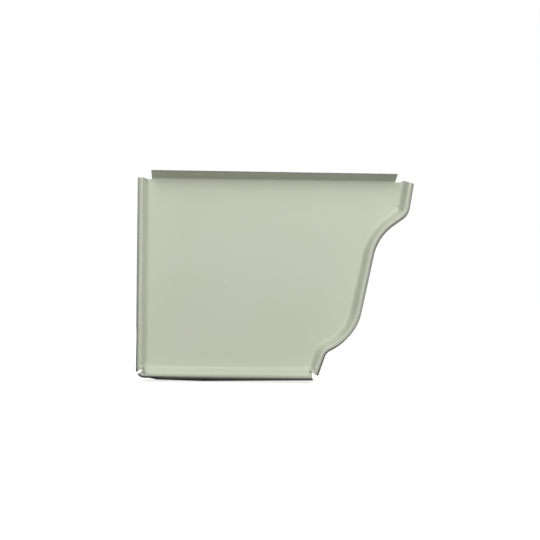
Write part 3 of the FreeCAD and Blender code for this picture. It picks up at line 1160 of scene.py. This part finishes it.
# the strip under the leg, and how far off it the floor has reached its full glow in the gloss
FOOT_MIDDLE = (0.043, 0.004)
FOOT_HALF = (0.043, 0.005)
FOOT_FADE = 0.03
# how far from the origin the floor starts to turn plain white, and where it is
LIFT_NEAR, LIFT_FAR = 0.25, 0.8


def beside_part(place):
    """0 on the strip of floor under the part, rising to 1 a little way off it."""
    over_x, over_y = [(part - middle).math("ABSOLUTE") - half for part, middle, half
                      in zip(place.parts("X", "Y"), FOOT_MIDDLE, FOOT_HALF)]
    return over_x.math("MAXIMUM", over_y).smooth(0.0, FOOT_FADE)


def make_floor():
    """A wide pale floor that keeps a faint shadow and fades to plain white."""
    corners = [(x * FLOOR_HALF, y * FLOOR_HALF, FLOOR_LEVEL)
               for x, y in ((-1, -1), (1, -1), (1, 1), (-1, 1))]
    mesh = bpy.data.meshes.new("floor")
    mesh.from_pydata(corners, [], [(0, 1, 2, 3)])
    pale = stub_material("pale_floor")
    mesh.materials.append(pale)
    tree, shader, place = wiped(pale)
    path = place.node("ShaderNodeLightPath", {}, {}, "Is Camera Ray")
    mirrored = (path.output("Is Glossy Ray") + path.output("Is Transmission Ray")).clamped()
    seen = (path + mirrored * beside_part(place)).clamped()
    away = place.vector_math("LENGTH", {}, "Value")
    lift = FLOOR_LIFT + away.smooth(LIFT_NEAR, LIFT_FAR) * (1 - FLOOR_LIFT)
    feed(shader, {"Base Color": (path + mirrored).clamped().colour_mix(FLOOR_BOUNCE, FLOOR_SEEN),
                  "Roughness": FLOOR_DULLNESS,
                  "Specular IOR Level": 0.0,
                  "Emission Color": (seen * lift).colour_mix(BLACK, WHITE),
                  "Emission Strength": 1.0})
    return placed("floor", mesh)


floor = make_floor()
print("floor at", FLOOR_LEVEL, "m")

# %% World
WORLD_AMBIENT = (0.03, 0.03, 0.03, 1)


def make_world():
    """White to the camera and in reflections, and a faint even light to the part."""
    world = bpy.data.worlds.new("studio")
    bpy.context.scene.world = world
    world.use_nodes = True
    tree = world.node_tree
    tree.nodes.clear()
    back = tree.nodes.new("ShaderNodeBackground")
    tree.links.new(back.outputs[0], tree.nodes.new("ShaderNodeOutputWorld").inputs["Surface"])
    path = Wire(tree, tree.nodes.new("ShaderNodeLightPath").outputs["Is Camera Ray"])
    seen = (path + path.output("Is Glossy Ray") + path.output("Is Transmission Ray")).clamped()
    feed(back, {"Color": seen.colour_mix(WORLD_AMBIENT, WHITE)})


make_world()
print("world ready")

# %% [markdown]
# ## Light
#
# In the photo the bottom wall is brightest, the walls at both sides are a shade darker than the
# panel, the panel fades a little towards its lower left, and a long soft shadow lies under the
# flange. That is a broad light above and in front, close to the part, with both sides left dark.
# Four soft lamps make it, the right-hand pair a little stronger. The low right one is the strongest
# of the four and reaches in under the flange, and the higher ones draw the shadow out into its long
# fade. A fifth lamp stands behind the part, where the photo can't see it, so that the back isn't
# left in the dark.

# %% Lamps
AIM = Vector((0.062, 0.0, 0.050))
# name, place and size in metres, and power in watts
LAMPS = [("right_low", (0.45, -0.75, 0.30), 0.40, 3.6),
         ("right_high", (0.42, -0.60, 0.50), 0.40, 1.35),
         ("left", (-0.30, -0.58, 0.52), 0.40, 2.2),
         ("left_top", (-0.18, -0.42, 0.80), 0.40, 2.05),
         ("back", (0.10, 0.80, 0.45), 0.45, 7.0)]


def soft_lamp(name, place, size, power):
    """A square area lamp that points at the part."""
    data = bpy.data.lights.new(name, "AREA")
    data.shape = "SQUARE"
    data.size = size
    data.energy = power
    lamp = placed(name, data)
    lamp.location = place
    lamp.rotation_euler = (AIM - Vector(place)).to_track_quat("-Z", "Y").to_euler()
    return lamp


lamps = [soft_lamp(*lamp) for lamp in LAMPS]
print("lamps:", [lamp.name for lamp in lamps])

# %% [markdown]
# ## Camera
#
# The photo looks straight at the panel from about a metre away, with the part turned a little
# clockwise in the frame. The camera keeps level with the middle of the part and rolls the other way
# by the same angle. No lens shift is needed.

# %% Camera
CAMERA_DISTANCE = 1.1
FRAME_WIDTH = 0.2542
SENSOR = 36.0
ROLL = math.radians(0.6)
LOOK_AT = Vector((0.06214, -0.0006, 0.05084))
CLIP_NEAR, CLIP_FAR = 0.05, 50


def make_camera():
    """A long lens, square on to the panel, with a slight roll."""
    data = bpy.data.cameras.new("camera")
    data.sensor_width = SENSOR
    data.lens = SENSOR * CAMERA_DISTANCE / FRAME_WIDTH
    data.clip_start = CLIP_NEAR
    data.clip_end = CLIP_FAR
    camera = placed("camera", data)
    upright = Matrix.Rotation(math.pi / 2, 4, "X") @ Matrix.Rotation(ROLL, 4, "Z")
    camera.matrix_world = Matrix.Translation(LOOK_AT - Vector((0, CAMERA_DISTANCE, 0))) @ upright
    bpy.context.scene.camera = camera
    return camera


camera = make_camera()
bpy.context.scene.view_settings.view_transform = "Standard"
print("lens, mm:", round(camera.data.lens, 1))

# %% [markdown]
